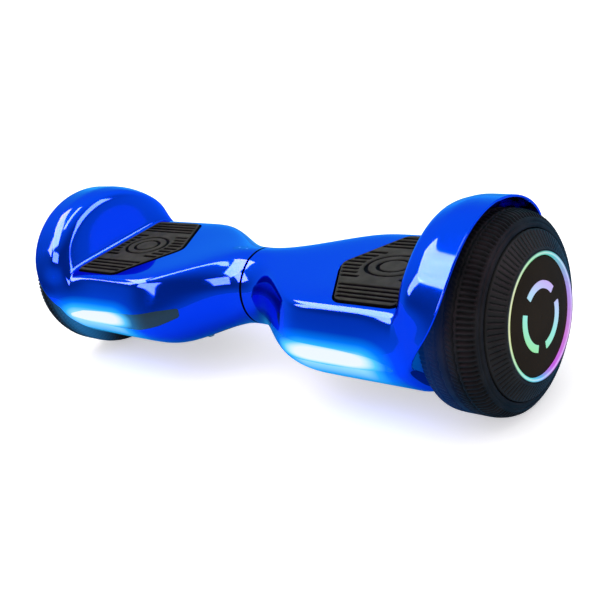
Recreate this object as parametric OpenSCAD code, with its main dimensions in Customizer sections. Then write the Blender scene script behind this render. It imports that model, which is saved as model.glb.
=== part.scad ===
// Self balancing hoverboard: two half bodies that twist about one shaft, with a hub motor wheel at each end.
// Millimetres, +Z up, ground at z = 0, riding direction is -Y, the origin is on the ground between the wheels.

/* [Wheels] */
// outer tyre radius
tyre_r = 82.5; // [75:105]
// outer face of the light ring
ring_x = 291.5; // [280:320]
// magnets in one hub motor
magnet_count = 30; // [20:40]
// stator teeth in one hub motor
tooth_count = 27; // [18:36]

/* [Body] */
// wall of the moulded shells
wall = 2.5; // [2:0.1:4]
// radius of the round neck
neck_r = 37.2; // [34:42]
// fender radius about the axle
fender_r = 95; // [92:100]
// gap between one half and the middle plane
neck_gap = 1.5; // [1:0.1:3]
// height of the deck above the ground
deck_z = 116.5; // [110:125]

/* [Foot pads] */
// top of the pad mat
pad_top = 117.2; // [116:120]
// how far a pad sinks when stood on
pad_travel = 2; // [1:0.1:3]

/* [Power and charging] */
// distance of the socket and of the button from the middle
rear_part_x = 130; // [110:160]
// clear bore of the charging socket
socket_bore = 12; // [10:16]
// depth of the clear bore
socket_depth = 8; // [6:12]
// how far the power button travels
button_travel = 1.5; // [1:0.1:3]

/* [Hidden] */
axle_z = tyre_r;
$fn = 64;
// body section as [y, z, angle round the neck from straight down], from the front chin over the deck to the back
section = [
    [-46, 27, 28], [-70, 44, 46], [-87, 64, 64], [-90.5, 78, 81], [-81, 95, 104], [-76.5, 107, 128],
    [-73.5, 114, 156], [-63, deck_z, 164], [-32, deck_z, 172], [0, deck_z, 181], [30, deck_z, 191],
    [57, deck_z, 204], [68, 113.5, 219], [74, 105, 238], [82, 92, 260], [88.5, 78, 279], [85, 64, 296],
    [68, 44, 314], [46, 27, 332], [16, 26, 351], [-16, 26, 369]
];
// direction of each section point as seen from the axle, counted up from straight ahead
rise = [-50, -29, -11, -3, 7, 17, 31, 50, 70, 90, 110, 130, 149, 163, 173, 183, 191, 209, 230, 0, 0];
columns = len(section);
last_side = 18;
// stations along the body, from the neck to the foot of the fender
stations = [neck_gap, 6, 16, 28, 42, 57, 72, 87, 101, 116, 136, 158, 178, 194, 204];
// rows over the fender as [guide, share of the way to the next guide]
fender_rows = [[0, 0], [0, 0.12], [0, 0.45], [0, 0.85], [1, 0.15], [2, 0], [2, 0.55], [3, 0], [3, 0.4], [3, 1]];

function ease(a, b, x) = let(t = max(0, min(1, (x - a) / (b - a)))) t * t * (3 - 2 * t);
function mix(a, b, t) = a * (1 - t) + b * t;
// the control radius is a little over the neck radius, because the curve runs inside its control points
function neck_point(j) = let(a = section[j][2], before = section[(j + columns - 1) % columns][2],
        after = section[(j + 1) % columns][2], r = neck_r * 6 / (4 + cos(a - before) + cos(after - a)))
    [-r * sin(a), axle_z - r * cos(a)];
function body_point(j) = [section[j][0], section[j][1]];
function share(j, x) = (j <= 4 || j >= last_side) ? ease(8, 108, x) : (j <= 9 ? ease(6, 112, x) : ease(6, 118, x));
function body_at(j, x) = mix(neck_point(j), body_point(j), share(j, x));
function polar(a, r) = [-r * cos(a), axle_z + r * sin(a)];
function folded(a) = max(0, min(a, 180 - a));
function edge_x(a) = 224 + 40 * (1 - exp(-pow(folded(a) / 17, 1.2)));
function mirrored(j) = j <= 9 ? j : (j <= last_side ? last_side - j : j);
// the front and back of the body swell out towards the fender from here on
swell_x = 174;
function swollen(j, x) = let(m = mirrored(j), far = m == 3 ? 226 : edge_x(rise[j]), t = (x - swell_x) / (far - swell_x))
    (m < 3 || m > 5 || t < 0) ? body_at(j, x) : mix(body_at(j, x), polar(rise[j], fender_r), t * t);
// the low end of the body turns in beside the tyre, by these amounts at each guide
turn_in = [0, 0, 1.2, 5.5, 14];
end_share = [0, 0.38, 0.72, 0.95, 1];
side_share = [0, 0.15, 0.35, 0.6, 1];
function wall_guide(k, j, f) = [211, 209 + 9 * ease(10, 40, f), 211 + 12 * ease(6, 50, f),
    211 + 28 * ease(4, 56, f), edge_x(rise[j])][k];
function guide(k, j) = let(m = mirrored(j), f = folded(rise[j]), base = body_at(j, 211))
    j > last_side ? concat([mix(208, 219.5, end_share[k])], base + [0, 0.6 * turn_in[k]]) :
    m >= 6 ? concat([wall_guide(k, j, f)], k == 0 ? base : polar(rise[j], fender_r - [0, 8.5, 3.8, 0, 0.4][k])) :
    let(x = m >= 4 ? mix(209, edge_x(rise[j]), side_share[k]) : mix(209, [221, 222, 223, 226][m], end_share[k]))
    concat([x], swollen(j, x) + unit([0, 70] - base) * turn_in[k] * [1, 1, 1, 0.35, 0, 0][m]);
function fender_point(row, j) = let(k = row[0]) mix(guide(k, j), guide(k + 1, j), row[1]);
control = concat(
    [for (x = stations) [for (j = [0:columns - 1]) concat([x], swollen(j, x))]],
    [for (row = fender_rows) [for (j = [0:columns - 1]) fender_point(row, j)]]
);
function blend4(a, b, c, d, t) = (a * pow(1 - t, 3) + b * (3 * t * t * t - 6 * t * t + 4)
    + c * (3 * t * t + 3 * t + 1 - 3 * t * t * t) + d * t * t * t) / 6;
around = 2;
fine = [for (row = control) [for (j = [0:columns - 1], s = [0:around - 1])
    blend4(row[(j + columns - 1) % columns], row[j], row[(j + 1) % columns], row[(j + 2) % columns], s / around)]];
rows = len(fine);
function fine_row(i) = i < 0 ? 2 * fine[0] - fine[1] : (i >= rows ? 2 * fine[rows - 1] - fine[rows - 2] : fine[i]);
skin = [for (i = [0:rows - 1]) (fine_row(i - 1) + 4 * fine[i] + fine_row(i + 1)) / 6];
loops = len(skin[0]);
function unit(v) = v / norm(v);
function inward(i, j) = let(
        a = skin[max(0, i - 1)][j], b = skin[min(rows - 1, i + 1)][j],
        c = skin[i][(j + loops - 1) % loops], d = skin[i][(j + 1) % loops], n = unit(cross(d - c, b - a)))
    i == 0 ? unit([0, n[1], n[2]]) : n;
// points of a thick patch between two loops of the skin, from depth t1 under it up to depth t0
function patch_points(first, count, t0, t1) = [for (t = [t1, t0], i = [0:rows - 1], k = [0:count])
    let(j = (first + k) % loops) skin[i][j] + inward(i, j) * t];
function patch_faces(count) = let(w = count + 1, n = rows * w) concat(
    [for (i = [0:rows - 2], k = [0:count - 1]) let(a = i * w + k) each [[a, a + w, a + w + 1], [a, a + w + 1, a + 1]]],
    [for (i = [0:rows - 2], k = [0:count - 1]) let(a = n + i * w + k)
        each [[a, a + w + 1, a + w], [a, a + 1, a + w + 1]]],
    [for (i = [0:rows - 2]) let(a = i * w) each [[a, a + n, a + n + w], [a, a + n + w, a + w]]],
    [for (i = [0:rows - 2]) let(a = i * w + count) each [[a, a + n + w, a + n], [a, a + w, a + n + w]]],
    [for (k = [0:count - 1]) each [[k, k + 1, k + 1 + n], [k, k + 1 + n, k + n]]],
    [for (k = [0:count - 1]) let(a = (rows - 1) * w + k) each [[a, a + n + 1, a + 1], [a, a + n, a + n + 1]]]
);
module patch(first, count, t0, t1) {
    polyhedron(points = patch_points(first, count, t0, t1), faces = patch_faces(count), convexity = 8);
}

function soft_corner(p, q, r, d, n) = let(a = q + unit(p - q) * d, c = q + unit(r - q) * d)
    [for (k = [0:n]) mix(mix(a, q, k / n), mix(q, c, k / n), k / n)];
function softened(pts, d, n = 5) = let(m = len(pts))
    [for (i = [0:m - 1]) each soft_corner(pts[(i + m - 1) % m], pts[i], pts[(i + 1) % m], d, n)];
function out_normal(p, q) = unit([q[1] - p[1], p[0] - q[0]]);
// outline moved outwards by an even margin, for points listed anticlockwise
function grown(pts, by) = let(m = len(pts)) [for (i = [0:m - 1])
    let(a = out_normal(pts[(i + m - 1) % m], pts[i]), b = out_normal(pts[i], pts[(i + 1) % m]))
    pts[i] + (a + b) / (1 + a * b) * by];
pad_outline = [[207, -66.5], [207, 56], [138, 56], [106, -4], [145, -66.5]];
flange_outline = [[206.8, -69], [206.8, 58.5], [136.7, 58.5], [102.7, -4.2], [143.8, -69]];
lamp_outline = [[62, 76], [82, 70.5], [106, 67], [140, 66], [180, 68], [211, 72.5], [211, 76.5], [190, 81], [150, 83],
    [110, 84], [82, 86], [62, 85]];
window_outline = [[15, 1], [37, 1], [37, 9], [15, 9]];
plunger_spots = [[130, -15], [130, 15], [178, -14], [178, 14]];
stop_spots = [[150, -39], [196, -39], [150, 38], [196, 38]];
pan_screws = [[78, -24, 32], [78, 24, 32], [200, -30, 28.1], [200, 30, 28.1]];
boss_h = 4;
board_posts = [[92, -28], [92, 28], [176, -28], [176, 28]];
sensor_posts = [[122, -20], [122, 20], [182, -21], [182, 21]];
clamp_spots = [[191, -13], [191, 13], [202, -13], [202, 13]];
plate_z = 94;
plate_top = 98;
axle_r = 8;
end_x = 207.6;
slot_r = 11;
bearing_r = 8.5;
bearing_outer_r = 17.5;
rear_z = 76;
rear_face = 88.3;
button_foot = 76;
carrier_z = 109;
twist = 11;
fit = 0.1;

module left() {
    mirror([1, 0, 0]) children();
}

// turns a profile drawn as [radius, x] about the axle line
module spin(sweep = 360) {
    translate([0, 0, axle_z]) rotate([0, 90, 0]) rotate_extrude(angle = sweep, $fn = 96) children();
}

module tube_x(r, inner, from, to) {
    spin() translate([inner, from]) square([r - inner, to - from]);
}

// a rod that runs along Y, drawn at a height and at a distance from the middle
module rod_y(x, z, r, from, to) {
    translate([x, from, z]) rotate([-90, 0, 0]) cylinder(r = r, h = to - from);
}

module rod_z(spot, r, from, to) {
    translate([spot[0], spot[1], from]) cylinder(r = r, h = to - from);
}

module box(x, y, z) {
    translate([x[0], y[0], z[0]]) cube([x[1] - x[0], y[1] - y[0], z[1] - z[0]]);
}

module plan(pts, from, to) {
    translate([0, 0, from]) linear_extrude(to - from) polygon(pts);
}

// a prism through the front face, drawn in x and z
module front_prism(pts) {
    translate([0, -50, 0]) rotate([90, 0, 0]) linear_extrude(50) polygon(pts);
}

// the body outline at one distance from the middle, set in from the outer skin
function outline_at(x, rim_inset, pan_inset) = [for (j = [0:loops - 1])
    let(i = [for (i = [1:rows - 1]) if (skin[i][j][0] >= x) i][0], p = skin[i - 1][j], q = skin[i][j],
        c = mix(p, q, (x - p[0]) / (q[0] - p[0])), n = inward(i - 1, j),
        flat = unit([n[1], n[2]]), d = (j > 0 && j < last_side * around) ? rim_inset : pan_inset)
    [c[1], c[2]] + flat * d];

// closes the body beside the wheel, with a slot that lets the axle drop in from below
module end_wall() {
    translate([end_x, 0, 0]) rotate([90, 0, 90]) linear_extrude(wall) difference() {
        polygon(outline_at(end_x + wall / 2, 1.2, wall + 0.3));
        translate([0, axle_z]) circle(r = slot_r);
        translate([-slot_r, 20]) square([2 * slot_r, axle_z - 20]);
    }
}

module upper_shell() {
    difference() {
        union() {
            patch(0, last_side * around, 0, wall);
            end_wall();
        }
        plan(softened(grown(pad_outline, 1), 7), 105, 125);
        front_prism(grown(lamp_outline, fit));
        children();
    }
}

module upper_shell_l() {
    upper_shell() {
        rod_y(rear_part_x, rear_z, 13 + fit, 60, 95);
        plan(softened(grown(window_outline, fit), 4), 105, 125);
    }
}

module upper_shell_r() {
    upper_shell() rod_y(rear_part_x, rear_z, 13 + fit, 60, 95);
}

module lower_shell() {
    difference() {
        union() {
            patch(last_side * around, 3 * around, 0, wall);
            box([end_x, end_x + wall], [0.3 - slot_r, slot_r - 0.3], [28, axle_z - slot_r]);
            for (s = pan_screws) rod_z(s, 4, s[2], s[2] + boss_h);
        }
        for (s = pan_screws) {
            rod_z(s, 1.8, 20, 50);
            rod_z(s, 3.6, 20, s[2]);
        }
        for (x = [130:8:170]) box([x, x + 3], [-14, 14], [20, 40]);
    }
}

module frame(tube_bore) {
    difference() {
        union() {
            plan([[46, -26], [90, -44], [207, -44], [207, 44], [90, 44], [46, 26]], plate_z, plate_top);
            tube_x(21, 0, 6, 58);
            for (y = [-44, 40]) box([92, 205], [y, y + 4], [80, plate_z]);
            box([186, 207], [-18, 18], [axle_z, plate_z]);
            for (s = pan_screws) rod_z(s, 3.5, s[2] + boss_h, plate_z);
            for (s = stop_spots) rod_z(s, 5, plate_top, carrier_z - pad_travel - 0.2);
            for (s = sensor_posts) rod_z(s, 2.5, 85.6, plate_z);
            for (x = [112, 168]) {
                box([x, x + 6], [-77.6, -40], [90, plate_z]);
                box([x, x + 6], [-77.6, -75.6], [70, 92]);
            }
        }
        tube_x(tube_bore, 0, 0, 70);
        tube_x(20.5, 0, 58, 63);
        tube_x(axle_r + 0.05, 0, 180, 230);
        for (s = plunger_spots) rod_z(s, 5, 80, 100);
        for (s = clamp_spots) rod_z(s, 3, 60, 91);
        for (s = pan_screws) rod_z(s, 1.5, 20, s[2] + 14.5);
        children();
    }
}

module frame_l() {
    frame(15) rod_z([32, 0], 3, axle_z, 110);
}

// the slot leaves the limit pin room to swing, and so sets how far the halves twist
module frame_r() {
    half_slot = twist + 11.5;
    for (s = board_posts) rod_z(s, 3, 59.6, plate_z);
    frame(17) translate([0, 0, axle_z]) rotate([0, 90, 0]) rotate([0, 0, 180 - half_slot])
        rotate_extrude(angle = 2 * half_slot) translate([16, 28.6]) square([12, 6.8]);
}

module foot_pad() {
    top = softened(pad_outline, 7);
    plan(top, 112, pad_top);
    difference() {
        union() {
            for (y = [36:6:54]) box([120, 206], [y, y + 3], [pad_top, pad_top + 0.8]);
            for (y = [-64:6:-34]) box([116, 206], [y, y + 3], [pad_top, pad_top + 0.8]);
            for (y = [-20:6:22]) {
                box([112, 136], [y, y + 3], [pad_top, pad_top + 0.8]);
                box([182, 206], [y, y + 3], [pad_top, pad_top + 0.8]);
            }
        }
        difference() {
            box([100, 215], [-75, 65], [pad_top, pad_top + 2]);
            plan(grown(pad_outline, -3), pad_top - 1, pad_top + 3);
        }
    }
}

module pad_carrier() {
    plan(softened(grown(pad_outline, -1), 7), carrier_z, 112);
    plan(softened(flange_outline, 7), carrier_z, carrier_z + 1.5);
    for (s = plunger_spots) rod_z(s, 3.5, 93, carrier_z);
}

module sensor_board() {
    box([118, 185.5], [-24, 24], [84, 85.6]);
    for (s = plunger_spots) {
        box([s[0] - 4, s[0] + 4], [s[1] - 4, s[1] + 4], [85.6, 88]);
        rod_z(s, 2.5, 88, 90.5);
    }
    box([150, 160], [-6, 6], [85.6, 87.4]);
}

module headlight_lens() {
    intersection() {
        patch(1 * around, 5 * around, 0, 2.2);
        front_prism(lamp_outline);
    }
}

module headlight_board() {
    box([96, 190], [-79.1, -77.6], [69, 82]);
    for (x = [101:12:185]) box([x - 2.5, x + 2.5], [-80.7, -79.1], [73, 78]);
}

module axle_clamp() {
    difference() {
        box([186, 207], [-18, 18], [68, axle_z - 0.2]);
        tube_x(axle_r + 0.05, 0, 180, 230);
        for (s = clamp_spots) rod_z(s, 3.2, 60, 90);
    }
}

// axle clamp bolts and the screws of the belly pan
module body_screws() {
    for (s = clamp_spots) {
        rod_z(s, 2.95, 68, 90.5);
        difference() {
            rod_z(s, 5, 63, 68);
            translate([s[0], s[1], 62]) cylinder(r = 2.9, h = 4, $fn = 6);
        }
    }
    for (s = pan_screws) {
        rod_z(s, 1.45, s[2], s[2] + 13.5);
        rod_z(s, 3.4, s[2] - 2, s[2]);
    }
}

module tyre() {
    spin() polygon([[60, 231], [66, 228.6], [74, 228], [79, 229.6], [81.4, 233], [82.2, 237], [80.4, 238],
        [80.4, 240.5], [82.4, 241.5], [tyre_r, 250.5], [80.6, 251], [80.6, 253], [tyre_r, 253.5], [82.4, 262.5],
        [80.4, 263.5], [80.4, 266], [82.2, 267], [81.4, 271], [79.5, 276], [75, 279.4], [69.5, 281.4], [67.6, 281],
        [67.6, 278.6], [60, 276.6]]);
}

module rim() {
    tube_x(59.9, 55, 232.7, 276.5);
}

module magnets() {
    for (k = [0:magnet_count - 1]) translate([0, 0, axle_z]) rotate([k * 360 / magnet_count, 0, 0])
        translate([238, -4.6, 51.7]) cube([30, 9.2, 2.9]);
}

module stator() {
    difference() {
        tube_x(36, 12.05, 242, 264);
        for (a = [30:60:330]) translate([0, 0, axle_z]) rotate([a, 0, 0]) translate([240, 0, 24])
            rotate([0, 90, 0]) cylinder(r = 6, h = 30);
    }
    translate([242, 0, axle_z]) rotate([0, 90, 0]) linear_extrude(22) for (k = [0:tooth_count - 1])
        rotate(k * 360 / tooth_count) {
            translate([35.5, -1.6]) square([12.5, 3.2]);
            translate([48, -4.6]) square([2.4, 9.2]);
        }
}

module windings() {
    for (k = [0:tooth_count - 1]) translate([0, 0, axle_z]) rotate([0, 90, 0]) rotate([0, 0, k * 360 / tooth_count])
        difference() {
            translate([37.5, -3.1, 239.5]) cube([9.5, 6.2, 27]);
            translate([37, -1.65, 241.9]) cube([11, 3.3, 22.2]);
        }
}

module axle() {
    difference() {
        spin() polygon([[0, 187], [axle_r - 0.05, 187], [axle_r - 0.05, 229], [bearing_r - 0.05, 229],
            [bearing_r - 0.05, 239], [12, 239], [12, 268], [bearing_r - 0.05, 268], [bearing_r - 0.05, 278.5], [0, 278.5]]);
        tube_x(3, 0, 180, 241);
    }
}

module inner_cover() {
    spin() polygon([[bearing_outer_r, 229], [21, 229], [59.5, 229.6], [59.5, 232.6], [21, 232.6], [21, 239],
        [bearing_outer_r, 239]]);
}

module outer_cover() {
    spin() polygon([[bearing_outer_r, 268], [21, 268], [21, 276.6], [60, 276.6], [66.8, 278.8], [67, 282.4],
        [52.2, 290.6], [51.2, 290.6], [51.2, 287.4], [62, 281.4], [60, 280], [bearing_outer_r, 280]]);
}

module wheel_bearings() {
    for (x = [229, 268]) difference() {
        tube_x(bearing_outer_r - 0.02, bearing_r, x + 0.2, x + 9.8);
        tube_x(14.6, 11.4, x - 1, x + 1.2);
        tube_x(14.6, 11.4, x + 8.8, x + 11);
    }
}

module light_ring() {
    tube_x(50.8, 47.5, 288.1, ring_x);
}

// three arcs round the middle of the hub face
module arcs(r1, r2, x1, x2, span) {
    for (k = [0:2]) translate([0, 0, axle_z]) rotate([0, 90, 0]) rotate([0, 0, k * 120])
        rotate_extrude(angle = span) translate([r1, x1]) square([r2 - r1, x2 - x1]);
}

module hub_face() {
    difference() {
        spin() polygon([[0, 291], [20, 290.8], [36, 290.2], [45, 289.4], [47.3, 288.8], [47.3, 288.1], [51, 288.1],
            [51, 285.5], [26, 285.5], [26, 280], [22, 280], [22, 285.5], [0, 285.5]]);
        arcs(21.9, 28.1, 288, 292, 92);
    }
}

module hub_motif() {
    arcs(22, 28, 288, ring_x - 0.4, 91.6);
}

module pivot_shaft() {
    difference() {
        tube_x(14.95, 11, -58, 61);
        tube_x(16, 13.8, 58.3, 60);
        for (x = [-32, 32]) rod_z([x, 0], 3, axle_z, 110);
    }
}

module pivot_bushes() {
    for (x = [8, 42]) difference() {
        tube_x(16.95, 15, x, x + 15);
        tube_x(20, 16, x - 5, x - 1);
    }
}

module shaft_clip() {
    difference() {
        tube_x(19, 13.85, 58.4, 59.9);
        box([50, 70], [-3, 3], [60, axle_z]);
    }
}

// one pin fixes the shaft in the left frame, the other swings in the slot of the right frame
module shaft_pins() {
    for (x = [-32, 32]) rod_z([x, 0], 2.95, axle_z + 9, axle_z + 24);
}

module neck_seal() {
    tube_x(35.4, 30, -1.4, 1);
    tube_x(34.1, 31.5, -8, -1.4);
}

module cross_cable() {
    tube_x(4, 0, -80, 84);
}

module battery_pack() {
    difference() {
        box([84.5, 184.5], [-33, 33], [36, 82]);
        for (y = [-34, 30]) box([80, 190], [y, y + 4], [57, 61]);
    }
    box([84.5, 96], [-10, 10], [82, 84]);
}

module battery_strap() {
    difference() {
        box([120, 146], [-37, 37], [34.5, plate_z]);
        box([110, 156], [-33.1, 33.1], [35.9, 97]);
        for (y = [-40, 34.6]) box([110, 156], [y, y + 5.4], [30, 92]);
    }
}

module main_board() {
    box([84, 184], [-33, 33], [58, 59.6]);
    for (x = [98:9:116], y = [-24, 24]) box([x, x + 7], [y - 4, y + 4], [59.6, 66]);
    for (y = [-14, 0, 14]) rod_z([150, y], 5.5, 59.6, 79);
    box([130, 140], [-6, 6], [59.6, 62]);
    for (y = [-22, 10]) box([164, 172], [y, y + 12], [59.6, 68]);
}

module heat_sink() {
    difference() {
        box([96, 116], [-30, 30], [66, plate_z]);
        for (y = [-26:6:22]) box([95, 117], [y, y + 3], [71, 89]);
    }
}

module charge_port() {
    difference() {
        union() {
            rod_y(rear_part_x, rear_z, 13, 77, rear_face);
            rod_y(rear_part_x, rear_z, 15, 74.5, 77.5);
            rod_y(rear_part_x, rear_z, 10, 71, 78);
            for (x = [rear_part_x - 7, rear_part_x + 4.3]) {
                box([x, x + 2.7], [87.1, rear_face], [80, 95]);
                box([x, x + 2.7], [rear_face - 0.5, 91.8], [90.2, 95]);
            }
        }
        rod_y(rear_part_x, rear_z, socket_bore / 2, rear_face - socket_depth, rear_face + 1);
        rod_y(rear_part_x, rear_z, socket_bore / 2 - 1, 73, rear_face - socket_depth + 0.1);
    }
}

module charge_pins() {
    for (a = [90, 210, 330]) rod_y(rear_part_x + 2.9 * cos(a), rear_z + 2.9 * sin(a), 1, 73, 80);
}

module charge_cap() {
    rod_y(rear_part_x, rear_z, 13.5, rear_face + 0.2, rear_face + 2.7);
    box([rear_part_x - 4, rear_part_x + 4], [rear_face + 0.2, rear_face + 2.7], [86, 93]);
    translate([rear_part_x - 4.2, 89.8, 93]) rotate([0, 90, 0]) cylinder(r = 2, h = 8.4);
}

module power_bezel() {
    difference() {
        union() {
            rod_y(rear_part_x, rear_z, 13, 77, rear_face);
            rod_y(rear_part_x, rear_z, 15, 74.5, 77.5);
            rod_y(rear_part_x, rear_z, 10.5, 71, 78);
        }
        rod_y(rear_part_x, rear_z, 8.6, button_foot - button_travel - 1.5, rear_face + 1);
    }
}

module power_button() {
    difference() {
        rod_y(rear_part_x, rear_z, 8.4, button_foot, rear_face + 1.2);
        translate([rear_part_x, rear_face + 19.7, rear_z]) sphere(r = 19.5);
    }
}

module status_window() {
    intersection() {
        patch(7 * around, 5 * around, 0, 2.2);
        plan(softened(window_outline, 4), 105, 125);
    }
}

blue = [0, 0.2, 0.85];
black = [0.09, 0.09, 0.1];
rubber = [0.16, 0.16, 0.17];
metal = [0.7, 0.72, 0.74];
steel = [0.5, 0.52, 0.55];
copper = [0.8, 0.45, 0.2];
board = [0.05, 0.35, 0.2];
lamp = [0.75, 0.9, 1];

color(blue) left() upper_shell_l();
color(blue) upper_shell_r();
color(black) left() lower_shell();  // lower_shell_l
color(black) lower_shell();  // lower_shell_r
color(metal) left() frame_l();
color(metal) frame_r();
color(rubber) left() foot_pad();  // foot_pad_l
color(rubber) foot_pad();  // foot_pad_r
color(black) left() pad_carrier();  // pad_carrier_l
color(black) pad_carrier();  // pad_carrier_r
color(board) left() sensor_board();  // sensor_board_l
color(board) sensor_board();  // sensor_board_r
color(lamp) left() headlight_lens();  // headlight_lens_l
color(lamp) headlight_lens();  // headlight_lens_r
color(board) left() headlight_board();  // headlight_board_l
color(board) headlight_board();  // headlight_board_r
color(metal) left() axle_clamp();  // axle_clamp_l
color(metal) axle_clamp();  // axle_clamp_r
color(steel) left() body_screws();  // body_screws_l
color(steel) body_screws();  // body_screws_r
color(rubber) left() tyre();  // tyre_l
color(rubber) tyre();  // tyre_r
color(metal) left() rim();  // rim_l
color(metal) rim();  // rim_r
color(steel) left() magnets();  // magnets_l
color(steel) magnets();  // magnets_r
color(steel) left() stator();  // stator_l
color(steel) stator();  // stator_r
color(copper) left() windings();  // windings_l
color(copper) windings();  // windings_r
color(steel) left() axle();  // axle_l
color(steel) axle();  // axle_r
color(metal) left() inner_cover();  // inner_cover_l
color(metal) inner_cover();  // inner_cover_r
color(black) left() outer_cover();  // outer_cover_l
color(black) outer_cover();  // outer_cover_r
color(steel) left() wheel_bearings();  // wheel_bearings_l
color(steel) wheel_bearings();  // wheel_bearings_r
color(lamp) left() light_ring();  // light_ring_l
color(lamp) light_ring();  // light_ring_r
color(black) left() hub_face();  // hub_face_l
color(black) hub_face();  // hub_face_r
color(lamp) left() hub_motif();  // hub_motif_l
color(lamp) hub_motif();  // hub_motif_r
color(steel) pivot_shaft();
color(copper) pivot_bushes();
color(steel) shaft_clip();
color(steel) shaft_pins();
color(rubber) neck_seal();
color(black) cross_cable();
color(rubber) left() battery_pack();
color(metal) left() battery_strap();
color(board) main_board();
color(metal) heat_sink();
color(black) left() charge_port();
color(copper) left() charge_pins();
color(rubber) left() charge_cap();
color(black) power_bezel();
color(metal) power_button();
color(lamp) left() status_window();
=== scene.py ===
"""Self balancing hoverboard: the looks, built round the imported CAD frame.

Outlines and the body's form are in millimetres, as the CAD has them, and every mesh is stored in metres.
"""

import math

import bmesh
import bpy
import numpy as np
from mathutils import Matrix, Vector
from mathutils.bvhtree import BVHTree


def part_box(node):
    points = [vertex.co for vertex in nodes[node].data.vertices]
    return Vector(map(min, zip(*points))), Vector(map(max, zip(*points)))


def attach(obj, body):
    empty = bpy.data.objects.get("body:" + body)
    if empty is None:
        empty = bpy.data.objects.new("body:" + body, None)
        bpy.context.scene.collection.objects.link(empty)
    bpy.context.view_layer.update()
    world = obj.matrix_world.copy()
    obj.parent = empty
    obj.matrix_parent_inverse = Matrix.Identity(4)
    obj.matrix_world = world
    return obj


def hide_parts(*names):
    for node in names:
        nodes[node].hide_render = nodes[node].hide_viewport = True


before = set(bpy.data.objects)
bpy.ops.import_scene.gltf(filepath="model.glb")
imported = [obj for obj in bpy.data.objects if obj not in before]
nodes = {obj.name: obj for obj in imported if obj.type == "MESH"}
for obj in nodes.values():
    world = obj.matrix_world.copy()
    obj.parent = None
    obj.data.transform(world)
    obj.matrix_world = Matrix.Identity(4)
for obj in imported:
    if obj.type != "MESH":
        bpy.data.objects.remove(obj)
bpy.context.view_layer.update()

MM = 0.001
SIDES = (("l", -1, "left"), ("r", 1, "right"))

# sizes that the frame gives, in millimetres
tyre_low, tyre_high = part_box("tyre_r")
AXLE_Z = (tyre_low.z + tyre_high.z) / 2 / MM
TYRE_R = (tyre_high.z - tyre_low.z) / 2 / MM
RING_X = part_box("light_ring_r")[1].x / MM
PAD_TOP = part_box("foot_pad_r")[1].z / MM
PAD_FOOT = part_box("foot_pad_r")[0].z / MM
bezel_low, bezel_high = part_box("power_bezel")
REAR_X = (bezel_low.x + bezel_high.x) / 2 / MM
REAR_Z = (bezel_low.z + bezel_high.z) / 2 / MM

# sizes that only this script needs, or that it shares with the CAD's source, in millimetres
WALL = 2.5
RING_INNER, RING_OUTER = 47.5, 50.8
CROWN_FROM, CROWN_TO = 241, 263


# ---------------------------------------------------------------- outlines
def softened(points, reach, steps=8):
    """Closed outline with each corner rounded over a given reach along its edges."""
    points = np.array(points, float)
    out = []
    for i, corner in enumerate(points):
        ends = []
        for other in (points[i - 1], points[(i + 1) % len(points)]):
            length = np.linalg.norm(other - corner)
            ends.append(corner + (other - corner) / length * min(reach, 0.45 * length))
        for t in np.linspace(0, 1, steps + 1):
            out.append((1 - t) ** 2 * ends[0] + 2 * t * (1 - t) * corner + t * t * ends[1])
    return np.array(out)


def grown(points, by):
    """Closed anticlockwise outline moved outwards by an even margin."""

    def normals(p, q):
        n = np.column_stack([(q - p)[:, 1], -(q - p)[:, 0]])
        return n / np.linalg.norm(n, axis=1, keepdims=True)

    a = normals(np.roll(points, 1, 0), points)
    b = normals(points, np.roll(points, -1, 0))
    return points + (a + b) / (1 + np.sum(a * b, 1, keepdims=True)) * by


def disc_outline(cx, cy, r, steps=72):
    a = np.linspace(0, 2 * np.pi, steps, endpoint=False)
    return np.column_stack([cx + r * np.cos(a), cy + r * np.sin(a)])


def turned(points, side):
    """The outline for one side of the board, kept anticlockwise."""
    points = np.array(points, float)
    return points if side > 0 else points[::-1] * [-1, 1]


def mirrored(points, side):
    return np.array(points, float) * [side, 1, 1]


def split_up(points, step, fine_from=0.0):
    """Closed profile with long edges divided; edges wholly nearer the axis than fine_from are left alone."""
    out = []
    for p, q in zip(points, np.roll(points, -1, 0)):
        count = 1 if max(p[0], q[0]) < fine_from else math.ceil(np.linalg.norm(q - p) / step)
        out += [p + (q - p) * k / count for k in range(count)]
    return np.array(out)


# ---------------------------------------------------------------- meshes
def new_object(name, points, faces, smooth=True):
    mesh = bpy.data.meshes.new(name)
    mesh.from_pydata((np.asarray(points) * MM).tolist(), [], [list(map(int, f)) for f in faces])
    mesh.polygons.foreach_set("use_smooth", [smooth] * len(mesh.polygons))
    mesh.update()
    obj = bpy.data.objects.new(name, mesh)
    bpy.context.scene.collection.objects.link(obj)
    return obj


def grid_faces(rows, cols, wrap_rows=False, wrap_cols=False):
    a, b = np.meshgrid(np.arange(rows - (not wrap_rows)), np.arange(cols - (not wrap_cols)), indexing="ij")
    a2, b2 = (a + 1) % rows, (b + 1) % cols
    return np.stack([a * cols + b, a2 * cols + b, a2 * cols + b2, a * cols + b2], -1).reshape(-1, 4)


def facing_out(obj):
    bm = bmesh.new()
    bm.from_mesh(obj.data)
    bmesh.ops.remove_doubles(bm, verts=bm.verts, dist=1e-7)
    bmesh.ops.recalc_face_normals(bm, faces=bm.faces)
    bm.to_mesh(obj.data)
    bm.free()
    return obj


def settled(obj):
    """Applies the modifiers of an object."""
    graph = bpy.context.evaluated_depsgraph_get()
    mesh = bpy.data.meshes.new_from_object(obj.evaluated_get(graph))
    obj.modifiers.clear()
    old, obj.data = obj.data, mesh
    bpy.data.meshes.remove(old)
    return obj


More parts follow.
